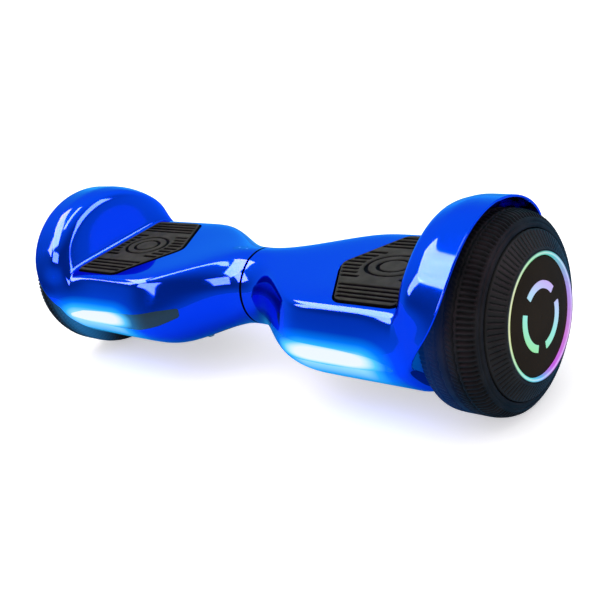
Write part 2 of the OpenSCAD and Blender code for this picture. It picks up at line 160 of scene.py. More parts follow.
def carve(obj, tools, operation="DIFFERENCE"):
    for tool in tools:
        modifier = obj.modifiers.new("carve", "BOOLEAN")
        modifier.operation = operation
        modifier.solver = "EXACT"
        modifier.object = tool
        settled(obj)
        bpy.data.objects.remove(tool)
        if not obj.data.polygons:
            raise RuntimeError(f"{obj.name} vanished when it was carved")
    return obj


def prism(outline, low, high, axis="z", spread=0.0):
    """Closed prism over an outline in the other two axes, spread outwards at its high end."""
    outline = np.array(outline, float)
    rings = []
    for level, flat in ((low, outline), (high, grown(outline, spread))):
        rings.append(np.insert(flat, "xyz".index(axis), level, axis=1))
    n = len(outline)
    faces = grid_faces(2, n, wrap_cols=True).tolist() + [list(range(n)), list(range(n, 2 * n))]
    return facing_out(new_object("tool", np.concatenate(rings), faces, smooth=False))


def revolve(name, side, profile, steps, relief=None):
    """Turns a closed profile of [radius, x] about the axle.

    relief(radius, x, angle) says how far a point sinks.
    """
    tangent = np.roll(profile, -1, 0) - np.roll(profile, 1, 0)
    normal = np.column_stack([-tangent[:, 1], tangent[:, 0]])
    normal /= np.linalg.norm(normal, axis=1, keepdims=True)
    area = np.sum(profile[:, 0] * np.roll(profile[:, 1], -1) - np.roll(profile[:, 0], -1) * profile[:, 1])
    normal *= -1 if area > 0 else 1
    angle = np.linspace(0, 2 * np.pi, steps, endpoint=False)[:, None]
    r, x = profile[None, :, 0], profile[None, :, 1]
    sink = relief(r, x, angle) if relief else np.zeros((steps, len(profile)))
    r, x = r - normal[:, 0] * sink, x - normal[:, 1] * sink
    points = np.stack([x * side, -r * np.cos(angle), AXLE_Z + r * np.sin(angle)], -1).reshape(-1, 3)
    return facing_out(new_object(name, points, grid_faces(steps, len(profile), True, True)))


def ramp01(low, high, x):
    t = np.clip((x - low) / (high - low), 0, 1)
    return t * t * (3 - 2 * t)


def crease_sharply(obj, degrees=35):
    """Smooth shading that stays crisp at edges over an angle."""
    bm = bmesh.new()
    bm.from_mesh(obj.data)
    for edge in bm.edges:
        edge.smooth = len(edge.link_faces) == 2 and edge.calc_face_angle(0) < math.radians(degrees)
    bm.to_mesh(obj.data)
    bm.free()
    return obj


def finished(obj, body, replaced, material):
    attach(obj, body)
    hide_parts(replaced)
    obj.data.materials.clear()
    obj.data.materials.append(material)
    return obj


# ---------------------------------------------------------------- node graphs
class Graph:
    """Short calls for building a node tree."""

    def __init__(self, tree):
        self.tree = tree

    def node(self, kind, values=None, **settings):
        made = self.tree.nodes.new("ShaderNode" + kind)
        for key, value in settings.items():
            setattr(made, key, value)
        for key, value in (values or {}).items():
            self.plug(made.inputs[key], value)
        return made

    def plug(self, socket, value):
        if isinstance(value, bpy.types.NodeSocket):
            self.tree.links.new(value, socket)
        else:
            socket.default_value = value

    def math(self, operation, a, b=0.0, c=0.0):
        return self.node("Math", {0: a, 1: b, 2: c}, operation=operation).outputs[0]

    def smooth(self, value, low, high):
        """Runs smoothly from 0 at low to 1 at high."""
        made = self.node("MapRange", {"Value": value, "From Min": low, "From Max": high})
        made.interpolation_type = "SMOOTHSTEP"
        return made.outputs["Result"]

    def window(self, value, low, high, soft):
        """1 between low and high, and 0 outside, with soft ends."""
        rise = self.smooth(value, low - soft, low + soft)
        return self.math("MULTIPLY", rise, self.smooth(value, high + soft, high - soft))

    def dot(self, a, b):
        return self.node("VectorMath", {0: a, 1: b}, operation="DOT_PRODUCT").outputs["Value"]

    def mix(self, share, a, b, blend="MIX"):
        made = self.node("Mix", {"Factor": share}, data_type="RGBA", blend_type=blend)
        self.plug(made.inputs[6], a)
        self.plug(made.inputs[7], b)
        return made.outputs[2]

    def ramp(self, value, stops):
        made = self.node("ValToRGB", {"Fac": value})
        elements = made.color_ramp.elements
        while len(elements) < len(stops):
            elements.new(1.0)
        for element, (place, colour) in zip(elements, stops):
            element.position = place
            element.color = (*colour, 1)
        return made.outputs["Color"]


class Material(Graph):
    """A principled material. Its place socket is the point on the object in metres."""

    def __init__(self, name, colour, rough=0.5, metal=0.0, **inputs):
        self.data = bpy.data.materials.new(name)
        self.data.use_nodes = True
        super().__init__(self.data.node_tree)
        self.shader = self.tree.nodes["Principled BSDF"]
        self.place = self.node("TexCoord").outputs["Object"]
        self.set(Base_Color=rgb(colour), Roughness=rough, Metallic=metal, **inputs)

    def set(self, **inputs):
        for key, value in inputs.items():
            self.plug(self.shader.inputs[key.replace("_", " ")], value)
        return self

    def noise(self, scale, detail=2.0, stretch=(1, 1, 1)):
        """Noise with features of about 1 / scale metres, stretched along the axes."""
        spot = self.node("Mapping", {"Vector": self.place, "Scale": stretch}).outputs[0]
        return self.node("TexNoise", {"Vector": spot, "Scale": scale, "Detail": detail}).outputs["Fac"]

    def axis(self, name):
        return self.node("SeparateXYZ", {0: self.place}).outputs[name]

    def mottle(self, low, high, scale, detail=3.0):
        """Varies the colour between two."""
        share = self.smooth(self.noise(scale, detail), 0.3, 0.7)
        return self.set(Base_Color=self.mix(share, rgb(low), rgb(high)))

    def vary_gloss(self, low, high, scale):
        value = self.node("MapRange", {"Value": self.noise(scale, 4.0), "To Min": low, "To Max": high})
        return self.set(Roughness=value.outputs["Result"])

    def bump(self, height, depth, strength=1.0):
        """Bump from a height of 0 to 1, with a depth in millimetres."""
        made = self.node("Bump", {"Height": height, "Distance": depth * MM, "Strength": strength})
        return self.set(Normal=made.outputs["Normal"])


def rgb(colour):
    """Linear colour from three display values of 0 to 255."""
    c = np.array(colour[:3], float) / 255
    return (*np.where(c <= 0.04045, c / 12.92, ((c + 0.055) / 1.055) ** 2.4), 1.0)


def linear(*colour):
    return rgb(colour)[:3]


# ---------------------------------------------------------------- materials
# the headlights, in millimetres: the lit stretches are counted from a plane a little left of the middle,
# because the left lamp shines further out than the right one
LAMP_Z = 76.0
LAMP_LEAN = 13.5
LENS_LIT = (108, 206)
# the reach of the glow painted on the blue shell round each lens
PAINTED_SPILL_REACH = (98, 220)
LAMP_SOFT = 32
TINT_RED = (1.0, 0.7, 0.6, 1.0)
TINT_BLUE = (0.0, 0.14, 0.7, 1.0)


def lamp_share(m, stretch):
    """How strongly the lamp shines at a point's distance along the body."""
    along = m.math("ABSOLUTE", m.math("ADD", m.axis("X"), LAMP_LEAN * MM))
    return m.window(along, stretch[0] * MM, stretch[1] * MM, LAMP_SOFT * MM)


def blue_chrome():
    m = Material("blue_chrome", (0, 66, 236), rough=0.07, metal=1.0, Coat_Weight=0.85, Coat_Roughness=0.02)
    m.set(Coat_IOR=1.45, Specular_Tint=TINT_BLUE)
    flow = m.noise(9, 1.0)
    m.set(Base_Color=m.mix(flow, rgb((0, 64, 232)), rgb((0, 74, 242))))
    m.vary_gloss(0.05, 0.1, 70)
    m.bump(m.noise(55, 1.0), 0.05, 0.25)
    # painted glow: emission on the blue round each headlight stands in for the lamp's light spreading over
    # it, white close to the lens and then azure
    rise = m.math("SUBTRACT", m.axis("Z"), LAMP_Z * MM)
    near = lamp_share(m, PAINTED_SPILL_REACH)
    for value, dark, lit in ((rise, 0.03, 0.0), (rise, -0.085, -0.004), (m.axis("Y"), -0.03, -0.06)):
        near = m.math("MULTIPLY", near, m.smooth(value, dark, lit))
    painted_spill = m.ramp(near, [
        (0.0, (0, 0, 0)), (0.3, (0, 0.02, 0.22)), (0.6, (0, 0.18, 0.7)), (0.82, (0.03, 0.5, 0.9)),
        (1.0, (0.4, 0.9, 1.0)),
    ])
    return m.set(Emission_Color=painted_spill, Emission_Strength=0.9).data


def lamp_lens():
    m = Material("lamp_lens", (40, 50, 62), rough=0.14, Specular_IOR_Level=0.35)
    # clear and dark at the neck end of the left lens, blue elsewhere
    tinted = m.math("MAXIMUM", m.smooth(m.axis("X"), -0.1, -0.17), m.smooth(m.axis("X"), 0.0, 0.04))
    m.set(Base_Color=m.mix(tinted, rgb((34, 44, 56)), rgb((0, 74, 196))))
    ribs = m.node("TexWave", {"Vector": m.place, "Scale": 90.0}, wave_type="BANDS", bands_direction="X")
    m.bump(ribs.outputs["Fac"], 0.12, 0.5)
    off = m.math("ABSOLUTE", m.math("SUBTRACT", m.axis("Z"), LAMP_Z * MM))
    across = m.smooth(off, 0.014, 0.001)
    share = m.math("MULTIPLY", lamp_share(m, LENS_LIT), m.math("ADD", across, 0.25))
    glow = m.ramp(share, [
        (0.0, (0.0, 0.005, 0.01)), (0.3, (0.0, 0.1, 0.25)), (0.6, (0.1, 0.6, 0.95)), (0.85, (0.7, 0.92, 1.0)),
        (1.0, (1.0, 0.98, 0.93)),
    ])
    return m.set(Emission_Color=glow, Emission_Strength=0.86).data


def pad_rubber():
    m = Material("pad_rubber", (52, 52, 51), rough=0.8, Specular_IOR_Level=0.04)
    share = m.smooth(m.noise(60, 3.0), 0.3, 0.7)
    worn = m.mix(share, rgb((55, 54, 49)), rgb((66, 65, 59)))
    # painted shade: below the ridge tops the grooves are painted near black (4, 3, 3), standing in for the
    # shade in them
    clear_of_groove_shade = m.smooth(m.axis("Z"), (PAD_TOP - 1.3) * MM, (PAD_TOP - 0.3) * MM)
    m.set(Base_Color=m.mix(clear_of_groove_shade, rgb((4, 3, 3)), worn))
    m.vary_gloss(0.7, 0.88, 200)
    grain = m.node("TexVoronoi", {"Vector": m.place, "Scale": 1400.0}).outputs["Distance"]
    return m.bump(grain, 0.12, 0.6).data


def tyre_rubber():
    m = Material("tyre_rubber", (28, 28, 28), rough=0.5, Specular_IOR_Level=0.12, Specular_Tint=TINT_RED)
    m.mottle((15, 15, 15), (25, 25, 25), 45)
    m.vary_gloss(0.5, 0.7, 160)
    # painted glow: emission on the front of the inner shoulder stands in for the light of the lamp beside it,
    # more on the left
    inner = m.smooth(m.math("ABSOLUTE", m.axis("X")), 0.266, 0.23)
    painted_glow_share = m.math("MULTIPLY", inner, m.smooth(m.axis("Y"), -0.03, -0.08))
    lamp = m.mix(m.smooth(m.axis("X"), 0.0, -0.01), (0.0, 0.014, 0.09, 1.0), (0.01, 0.12, 0.32, 1.0))
    m.set(Emission_Color=lamp, Emission_Strength=painted_glow_share)
    return m.bump(m.noise(1500, 3.0), 0.1, 0.6).data


def black_plastic(name, shade=26, rough=0.42, grain=900.0, depth=0.06):
    m = Material(name, (shade,) * 3, rough=rough, Specular_IOR_Level=0.05, Specular_Tint=(1.0, 0.6, 0.5, 1.0))
    m.mottle((shade - 5,) * 3, (shade + 5,) * 3, 30)
    m.vary_gloss(rough - 0.07, rough + 0.09, 120)
    return m.bump(m.noise(grain, 3.0), depth, 0.6).data


def gloss_black():
    m = Material("gloss_black", (14, 13, 15), rough=0.3, Specular_IOR_Level=0.0)
    m.set(Coat_Weight=0.1, Coat_Roughness=0.08)
    m.mottle((33, 25, 13), (38, 29, 16), 25)
    m.vary_gloss(0.16, 0.28, 90)
    return m.bump(m.noise(120, 2.0), 0.02, 0.2).data


RAINBOW = [
    (0.00, linear(176, 150, 240)), (0.12, linear(214, 128, 224)), (0.23, linear(206, 92, 236)),
    (0.30, linear(96, 176, 240)), (0.37, linear(90, 224, 214)), (0.44, linear(128, 214, 130)),
    (0.52, linear(206, 214, 110)), (0.63, linear(200, 206, 120)), (0.74, linear(120, 210, 120)),
    (0.86, linear(90, 200, 200)), (1.00, linear(176, 150, 240)),
]


def turn_share(m):
    """0 to 1 round the axle, with 0.5 at the front of the wheel and 0.75 at its top."""
    rise = m.math("SUBTRACT", m.axis("Z"), AXLE_Z * MM)
    angle = m.math("ARCTAN2", rise, m.math("MULTIPLY", m.axis("Y"), -1.0))
    return m.math("MULTIPLY_ADD", angle, 0.5 / math.pi, 0.5)


def axle_distance(m):
    rise = m.math("SUBTRACT", m.axis("Z"), AXLE_Z * MM)
    flat = m.node("CombineXYZ", {"X": m.axis("Y"), "Y": rise}).outputs[0]
    return m.node("VectorMath", {0: flat}, operation="LENGTH").outputs["Value"]


def ring_light():
    m = Material("ring_light", (60, 64, 68), rough=0.3, Specular_IOR_Level=0.3)
    colour = m.ramp(turn_share(m), RAINBOW)
    core = m.window(axle_distance(m), (RING_INNER + 1.0) * MM, (RING_OUTER - 1.3) * MM, 0.6 * MM)
    flicker = m.math("MULTIPLY_ADD", m.noise(300, 1.0), 0.3, 0.95)
    m.bump(m.noise(400, 1.0), 0.05, 0.4)
    lit = m.mix(m.math("MULTIPLY", core, 0.45), colour, (1, 1, 1, 1))
    face = m.window(axle_distance(m), (RING_INNER - 0.3) * MM, (RING_OUTER - 0.5) * MM, 0.4 * MM)
    strength = m.math("MULTIPLY", m.math("MULTIPLY", flicker, face), 0.85)
    return m.set(Emission_Color=lit, Emission_Strength=strength).data


def motif_light():
    m = Material("motif_light", (70, 84, 82), rough=0.4, Specular_IOR_Level=0.2)
    lean = m.math("ADD", m.axis("Y"), m.math("SUBTRACT", m.axis("Z"), AXLE_Z * MM))
    colour = m.ramp(m.math("MULTIPLY_ADD", lean, 13.0, 0.5), [
        (0.0, linear(150, 235, 160)), (0.4, linear(150, 240, 225)), (0.7, linear(185, 215, 250)),
        (1.0, linear(205, 170, 245)),
    ])
    m.bump(m.noise(500, 1.0), 0.04, 0.4)
    return m.set(Emission_Color=colour, Emission_Strength=0.85).data


def tinted_glass():
    m = Material("tinted_glass", (0, 60, 224), rough=0.08, metal=1.0, Coat_Weight=1.0, Coat_IOR=1.45)
    m.set(Base_Color=m.mix(m.noise(60), rgb((0, 56, 216)), rgb((0, 66, 232))), Specular_Tint=TINT_BLUE)
    # two small lights shine through
    marks = 0.0
    for x, y in ((-18, 4), (-29.5, 5.5)):
        off = m.node("VectorMath", {0: m.place, 1: (x * MM, y * MM, 0.0)}, operation="SUBTRACT").outputs[0]
        flat = m.node("VectorMath", {0: off, 1: (1, 1, 0)}, operation="MULTIPLY").outputs[0]
        away = m.node("VectorMath", {0: flat}, operation="LENGTH").outputs["Value"]
        marks = m.math("ADD", m.smooth(away, 0.0012, 0.0008), marks)
    m.set(Emission_Color=rgb((120, 160, 255)), Emission_Strength=m.math("MULTIPLY", marks, 0.6))
    return m.bump(m.noise(200, 1.0), 0.03, 0.3).data


def metal(name, colour, rough, grain, depth=0.05, stretch=(1, 1, 1), metalness=0.8):
    """A bare metal: the grain is fine for casting skin and stretched for brushed or turned faces."""
    m = Material(name, colour, rough=rough, metal=metalness)
    dark = tuple(c * 0.86 for c in colour)
    m.mottle(dark, colour, 40)
    m.vary_gloss(rough - 0.08, rough + 0.12, 150)
    return m.bump(m.noise(grain, 3.0, stretch), depth, 0.6).data


def circuit_board():
    m = Material("circuit_board", (14, 84, 44), rough=0.34, Coat_Weight=0.4)
    tracks = m.node("TexBrick", {"Vector": m.place, "Scale": 160.0, "Mortar Size": 0.06, "Bias": 0.0})
    track = tracks.outputs["Fac"]
    pads = m.node("TexVoronoi", {"Vector": m.place, "Scale": 260.0}, distance="CHEBYCHEV").outputs["Distance"]
    pad = m.smooth(pads, 0.22, 0.16)
    mask = m.mix(m.noise(60), rgb((10, 70, 36)), rgb((20, 98, 52)))
    lit = m.mix(track, mask, rgb((46, 140, 70)))
    m.set(Base_Color=m.mix(pad, lit, rgb((214, 188, 120))), Metallic=m.math("MULTIPLY", pad, 0.9))
    return m.bump(m.math("MAXIMUM", track, pad), 0.04).data


def striped(name, colour, dark, pitch, axis, metalness, rough):
    """Sheets or turns of wire lying side by side, one pitch in millimetres apart."""
    m = Material(name, colour, rough=rough, metal=metalness)
    scale = 1 / (pitch * MM) / 20 * math.pi
    wave = m.node("TexWave", {"Vector": m.place, "Scale": scale}, wave_type="BANDS", bands_direction=axis)
    band = wave.outputs["Fac"]
    tone = m.mix(m.noise(80), rgb(colour), rgb(tuple(c * 0.85 for c in colour)))
    m.set(Base_Color=m.mix(m.smooth(band, 0.25, 0.0), tone, rgb(dark)))
    return m.bump(band, pitch * 0.3, 0.8).data


def shrink_wrap():
    m = Material("shrink_wrap", (24, 74, 150), rough=0.3, Coat_Weight=0.5)
    m.mottle((18, 62, 132), (34, 88, 168), 22)
    wrinkle = m.noise(70, 4.0, (0.3, 1.0, 1.6))
    return m.bump(wrinkle, 0.7, 0.6).data


BLUE = blue_chrome()
LENS = lamp_lens()
PAD = pad_rubber()
TYRE = tyre_rubber()
PAN = black_plastic("pan_plastic", 24, 0.5, 500.0, 0.12)
COVER = black_plastic("cover_plastic", 32, 0.42)
MOULDED = black_plastic("moulded_plastic", 28, 0.36)
SOFT_BLACK = black_plastic("soft_black", 20, 0.66, 1200.0)
CAP = black_plastic("cap_rubber", 40, 0.6, 1200.0)
GLOSS = gloss_black()
RING = ring_light()
MOTIF = motif_light()
CAST = metal("cast_alloy", (176, 178, 180), 0.48, 700.0, 0.16)
SPUN = metal("spun_alloy", (188, 190, 193), 0.32, 900.0, 0.04, (6.0, 1.0, 1.0))
STEEL = metal("bright_steel", (170, 172, 176), 0.28, 1200.0, 0.03, (1.0, 1.0, 5.0))
BRUSHED = metal("brushed_button", (206, 204, 200), 0.3, 1500.0, 0.03, (0.12, 1.0, 1.0), 0.2)
NICKEL = metal("nickel_plate", (150, 152, 156), 0.24, 300.0, 0.02)
BRONZE = metal("bearing_bronze", (176, 128, 70), 0.42, 1600.0, 0.08)
GOLD = metal("contact_gold", (226, 184, 92), 0.26, 800.0, 0.02)
BOARD = circuit_board()
LAMINATE = striped("laminate_steel", (122, 124, 128), (40, 40, 44), 0.5, "X", 0.9, 0.45)
WIRE = striped("copper_wire", (196, 104, 52), (88, 36, 16), 0.75, "X", 0.9, 0.32)
WRAP = shrink_wrap()
TINT = tinted_glass()


# ---------------------------------------------------------------- the body's skin, in the CAD shells' form
NECK_R, NECK_GAP, DECK_Z, FENDER_R = 37.2, 1.5, 116.5, 95.0
SECTION = [
    (-46, 27, 28), (-70, 44, 46), (-87, 64, 64), (-90.5, 78, 81), (-81, 95, 104), (-76.5, 107, 128),
    (-73.5, 114, 156), (-63, DECK_Z, 164), (-32, DECK_Z, 172), (0, DECK_Z, 181), (30, DECK_Z, 191),
    (57, DECK_Z, 204), (68, 113.5, 219), (74, 105, 238), (82, 92, 260), (88.5, 78, 279), (85, 64, 296),
    (68, 44, 314), (46, 27, 332), (16, 26, 351), (-16, 26, 369),
]
RISE = [-50, -29, -11, -3, 7, 17, 31, 50, 70, 90, 110, 130, 149, 163, 173, 183, 191, 209, 230, 0, 0]
STATIONS = [NECK_GAP, 6, 16, 28, 42, 57, 72, 87, 101, 116, 136, 158, 178, 194, 204]
FENDER_ROWS = [
    (0, 0), (0, 0.12), (0, 0.45), (0, 0.85), (1, 0.15), (2, 0), (2, 0.55), (3, 0), (3, 0.4), (3, 1),
]
TURN_IN = [0, 0, 1.2, 5.5, 14]
END_SHARE = [0, 0.38, 0.72, 0.95, 1]
SIDE_SHARE = [0, 0.15, 0.35, 0.6, 1]
SWELL_X = 174
LAST_SIDE = 18
AROUND = ALONG = 6


def mix(a, b, t):
    return a * (1 - t) + b * t


def neck_point(j):
    """A control point of the neck, set out a little because the curve runs inside its control points."""
    before, here, after = (math.radians(SECTION[(j + d) % len(SECTION)][2]) for d in (-1, 0, 1))
    r = NECK_R * 6 / (4 + math.cos(here - before) + math.cos(after - here))
    return np.array([-r * math.sin(here), AXLE_Z - r * math.cos(here)])


def body_at(j, x):
    if j <= 4 or j >= LAST_SIDE:
        share = ramp01(8, 108, x)
    else:
        share = ramp01(6, 112 if j <= 9 else 118, x)
    return mix(neck_point(j), np.array(SECTION[j][:2], float), share)


def polar(a, r):
    return np.array([-r * math.cos(math.radians(a)), AXLE_Z + r * math.sin(math.radians(a))])


def folded(a):
    return max(0, min(a, 180 - a))


def edge_x(a):
    return 224 + 40 * (1 - math.exp(-((folded(a) / 17) ** 1.2)))


def mirror_column(j):
    return LAST_SIDE - j if 9 < j <= LAST_SIDE else j


def swollen(j, x):
    """The body's section, swelling out towards the fender over its front and back."""
    m = mirror_column(j)
    t = (x - SWELL_X) / ((226 if m == 3 else edge_x(RISE[j])) - SWELL_X)
    if m < 3 or m > 5 or t < 0:
        return body_at(j, x)
    return mix(body_at(j, x), polar(RISE[j], FENDER_R), t * t)


def guide(k, j):
    """Point k of 5 from the body's end to the fender's edge, in column j."""
    m = mirror_column(j)
    f, base = folded(RISE[j]), body_at(j, 211)
    if j > LAST_SIDE:
        return np.array([mix(208, 219.5, END_SHARE[k]), base[0], base[1] + 0.6 * TURN_IN[k]])
    if m >= 6:
        rises = [209 + 9 * ramp01(10, 40, f), 211 + 12 * ramp01(6, 50, f), 211 + 28 * ramp01(4, 56, f)]
        x = [211, *rises, edge_x(RISE[j])][k]
        return np.array([x, *(base if k == 0 else polar(RISE[j], FENDER_R - [0, 8.5, 3.8, 0, 0.4][k]))])
    if m >= 4:
        x = mix(209, edge_x(RISE[j]), SIDE_SHARE[k])
    else:
        x = mix(209, [221, 222, 223, 226][m], END_SHARE[k])
    inward = (np.array([0, 70]) - base) / np.linalg.norm(np.array([0, 70]) - base)
    return np.array([x, *(swollen(j, x) + inward * TURN_IN[k] * [1, 1, 1, 0.35, 0, 0][m])])


def spline_weights(t):
    """Weights of the four control points round a place on a uniform cubic B-spline."""
    inner = [(3 * t**3 - 6 * t * t + 4) / 6, (-3 * t**3 + 3 * t * t + 3 * t + 1) / 6]
    return [(1 - t) ** 3 / 6, *inner, t**3 / 6]


def make_skin():
    """Rows along the body of points round it, with unit normals that point out, for the right half."""
    columns = range(len(SECTION))
    net = [[[x, *swollen(j, x)] for j in columns] for x in STATIONS]
    net += [[mix(guide(k, j), guide(k + 1, j), t) for j in columns] for k, t in FENDER_ROWS]
    net = np.array(net, float)
    steps = []
    for s in range(AROUND):
        steps.append(sum(w * np.roll(net, 1 - d, axis=1) for d, w in enumerate(spline_weights(s / AROUND))))
    fine = np.stack(steps, 2).reshape(len(net), -1, 3)
    ends = np.concatenate([2 * fine[:1] - fine[1:2], fine, 2 * fine[-1:] - fine[-2:-1]])
    rows = []
    for i in range(len(ends) - 3):
        for s in range(ALONG):
            rows.append(sum(w * ends[i + d] for d, w in enumerate(spline_weights(s / ALONG))))
    rows.append((ends[-3] + 4 * ends[-2] + ends[-1]) / 6)
    skin = np.array(rows)
    normal = np.cross(np.gradient(skin, axis=0), np.roll(skin, -1, 1) - np.roll(skin, 1, 1))
    return skin, normal / np.linalg.norm(normal, axis=2, keepdims=True)


SKIN, NORMAL = make_skin()
LOOPS = SKIN.shape[1]


def thick_patch(name, side, first, count, depth, lip=True):
    """Closed wall under some columns of the skin, with a rounded lip at the fender end."""
    columns = [(first + k) % LOOPS for k in range(count + 1)]
    outer, normal = SKIN[:, columns], NORMAL[:, columns].copy()
    normal[0, :, 0] = 0
    normal[0] /= np.linalg.norm(normal[0], axis=1, keepdims=True)
    inner = outer - normal * depth
    middle = (outer[-1] + inner[-1]) / 2
    reach = outer[-1] - outer[-2]
    reach /= np.linalg.norm(reach, axis=1, keepdims=True)
    turns = np.linspace(0, math.pi, 7)[1:-1] if lip else []
    bead = [middle + (outer[-1] - middle) * math.cos(a) + reach * depth / 2 * math.sin(a) for a in turns]
    ring = np.concatenate([outer, np.array(bead).reshape(-1, len(columns), 3), inner[::-1]])
    n, m = ring.shape[:2]
    faces = grid_faces(n, m, wrap_rows=True).tolist()
    rows = len(outer)
    for j in (0, m - 1):
        for i in range(rows - 1):
            faces.append([i * m + j, (i + 1) * m + j, (n - 2 - i) * m + j, (n - 1 - i) * m + j])
        if lip:
            faces.append([i * m + j for i in range(rows - 1, n - rows + 1)])
    return facing_out(new_object(name, mirrored(ring.reshape(-1, 3), side), faces))


def polish(obj, side):
    """Gives faces on the skin its exact normals, so that the gloss runs clean up to every cut edge."""
    points = mirrored(SKIN.reshape(-1, 3), side) * MM
    normals = mirrored(NORMAL.reshape(-1, 3), side)
    quads = grid_faces(len(SKIN), LOOPS, wrap_cols=True)
    tree = BVHTree.FromPolygons(points.tolist(), quads.tolist())
    found = {}
    for v in obj.data.vertices:
        _, _, index, distance = tree.find_nearest(v.co)
        if distance is not None and distance < 0.25 * MM:
            weight = 1 / (np.linalg.norm(points[quads[index]] - np.array(v.co), axis=1) + 1e-7) ** 2
            found[v.index] = Vector((normals[quads[index]] * weight[:, None]).sum(0)).normalized()
    split = []
    for polygon in obj.data.polygons:
        for loop in polygon.loop_indices:
            n = found.get(obj.data.loops[loop].vertex_index)
            split.append(n if n is not None and n.dot(polygon.normal) > 0.8 else polygon.normal.copy())
    obj.data.normals_split_custom_set(split)
    return obj


# ---------------------------------------------------------------- shells, pans and lenses
PAD_OUTLINE = softened([(207, -66.5), (207, 56), (138, 56), (106, -4), (145, -66.5)], 7)
LAMP_OUTLINE = softened(
    [(62, 76), (82, 70.5), (106, 67), (140, 66), (180, 68), (211, 72.5), (211, 76.5), (190, 81), (150, 83),
     (110, 84), (82, 86), (62, 85)], 3, 4)
WINDOW_OUTLINE = softened([(15, 1), (37, 1), (37, 9), (15, 9)], 3.9)
PAN_SCREWS = [(78, -24, 32), (78, 24, 32), (200, -30, 28.1), (200, 30, 28.1)]
BOSS_R, SCREW_HOLE_R, SCREW_HEAD_R = 4.0, 1.8, 3.6
VENTS = range(130, 171, 8)
VENT_WIDTH, VENT_HALF = 3, 14
END_X = 207.6
SLOT_R = 11.0
REAR_HOLE_R = 13.15
CLEAR_DEPTH = 2.2
# reaches of the cuts that go through one wall of the skin
TOP_CUT = (100, 125)
FRONT_CUT = (-100, -50)
BACK_CUT = (60, 95)
BELLY_CUT = (20, 50)


def end_outline(x, rim_inset, pan_inset):
    """The skin's outline at one distance from the middle, set in from the skin."""
    out = []
    for j in range(LOOPS):
        i = int(np.argmax(SKIN[:, j, 0] >= x))
        share = (x - SKIN[i - 1, j, 0]) / (SKIN[i, j, 0] - SKIN[i - 1, j, 0])
        flat = NORMAL[i, j, 1:] / np.linalg.norm(NORMAL[i, j, 1:])
        inset = rim_inset if 0 < j < LAST_SIDE * AROUND else pan_inset
        out.append(mix(SKIN[i - 1, j, 1:], SKIN[i, j, 1:], share) - flat * inset)
    return np.array(out)


def keyhole():
    """The axle's way in from below, as an outline in y and z."""
    arch = [(SLOT_R * math.cos(a), AXLE_Z + SLOT_R * math.sin(a)) for a in np.linspace(0, math.pi, 25)]
    return np.array([(SLOT_R, 20.0), *arch, (-SLOT_R, 20.0)])


def upper_shell(tag, side, half):
    shell = thick_patch(f"shell_{tag}", side, 0, LAST_SIDE * AROUND, WALL)
    ends = sorted((END_X * side, (END_X + WALL) * side))
    wall = carve(prism(end_outline(END_X + WALL / 2, 1.2, WALL + 0.3), *ends, axis="x"),
                 [prism(keyhole(), *sorted((200.0 * side, 215.0 * side)), axis="x")])
    carve(shell, [wall], "UNION")
    opening = turned(grown(PAD_OUTLINE, 1.3), side)
    tools = [
        prism(opening, *TOP_CUT),
        prism(opening, DECK_Z - 1.0, DECK_Z + 1.5, spread=2.6),
        prism(turned(LAMP_OUTLINE, side), *FRONT_CUT, axis="y"),
        prism(disc_outline(REAR_X * side, REAR_Z, REAR_HOLE_R), *BACK_CUT, axis="y"),
    ]
    if side < 0:
        tools.append(prism(turned(WINDOW_OUTLINE, side), *TOP_CUT))
    carve(shell, tools)
    polish(shell, side)
    finished(shell, half + "_half", f"upper_shell_{tag}", BLUE)


def belly_pan(tag, side, half):
    pan = thick_patch(f"belly_pan_{tag}", side, LAST_SIDE * AROUND, 3 * AROUND, WALL)
    half_tongue, tongue_top = SLOT_R - 0.3, AXLE_Z - SLOT_R
    tongue = [(-half_tongue, 28), (half_tongue, 28), (half_tongue, tongue_top), (-half_tongue, tongue_top)]
    carve(pan, [prism(tongue, *sorted((END_X * side, (END_X + WALL) * side)), axis="x")], "UNION")
    carve(pan, [prism(disc_outline(x * side, y, BOSS_R, 40), z, z + 4.0) for x, y, z in PAN_SCREWS], "UNION")
    cuts = []
    for x, y, z in PAN_SCREWS:
        cuts.append(prism(disc_outline(x * side, y, SCREW_HOLE_R, 32), *BELLY_CUT))
        cuts.append(prism(disc_outline(x * side, y, SCREW_HEAD_R, 40), BELLY_CUT[0], z))
    for x in VENTS:
        end = x + VENT_WIDTH
        slot = softened([(x, -VENT_HALF), (end, -VENT_HALF), (end, VENT_HALF), (x, VENT_HALF)], 1.4, 4)
        cuts.append(prism(turned(slot, side), *BELLY_CUT))
    carve(pan, cuts)
    finished(polish(pan, side), half + "_half", f"lower_shell_{tag}", PAN)


def clear_part(name, side, first, outline, cut, axis):
    """A clear part let flush into the skin, with a fine gap round it."""
    part = thick_patch(name, side, first * AROUND, 5 * AROUND, CLEAR_DEPTH, lip=False)
    carve(part, [prism(turned(grown(outline, -0.12), side), *cut, axis=axis)], "INTERSECT")
    return polish(part, side)


for tag, side, half in SIDES:
    upper_shell(tag, side, half)
    belly_pan(tag, side, half)
    glass = clear_part(f"lamp_glass_{tag}", side, 1, LAMP_OUTLINE, FRONT_CUT, "y")
    finished(glass, half + "_half", f"headlight_lens_{tag}", LENS)
status_glass = clear_part("status_glass", -1, 7, WINDOW_OUTLINE, TOP_CUT, "z")
finished(status_glass, "left_half", "status_window", TINT)


# ---------------------------------------------------------------- foot pads
def spaced(low, high, step, edge):
    """Even steps, with finer ones within an edge band at both ends."""
    fine = np.linspace(0, edge, 8, endpoint=False)
    inner = np.linspace(low + edge, high - edge, round((high - low - 2 * edge) / step) + 1)
    return np.concatenate([low + fine, inner, (high - fine)[::-1]])


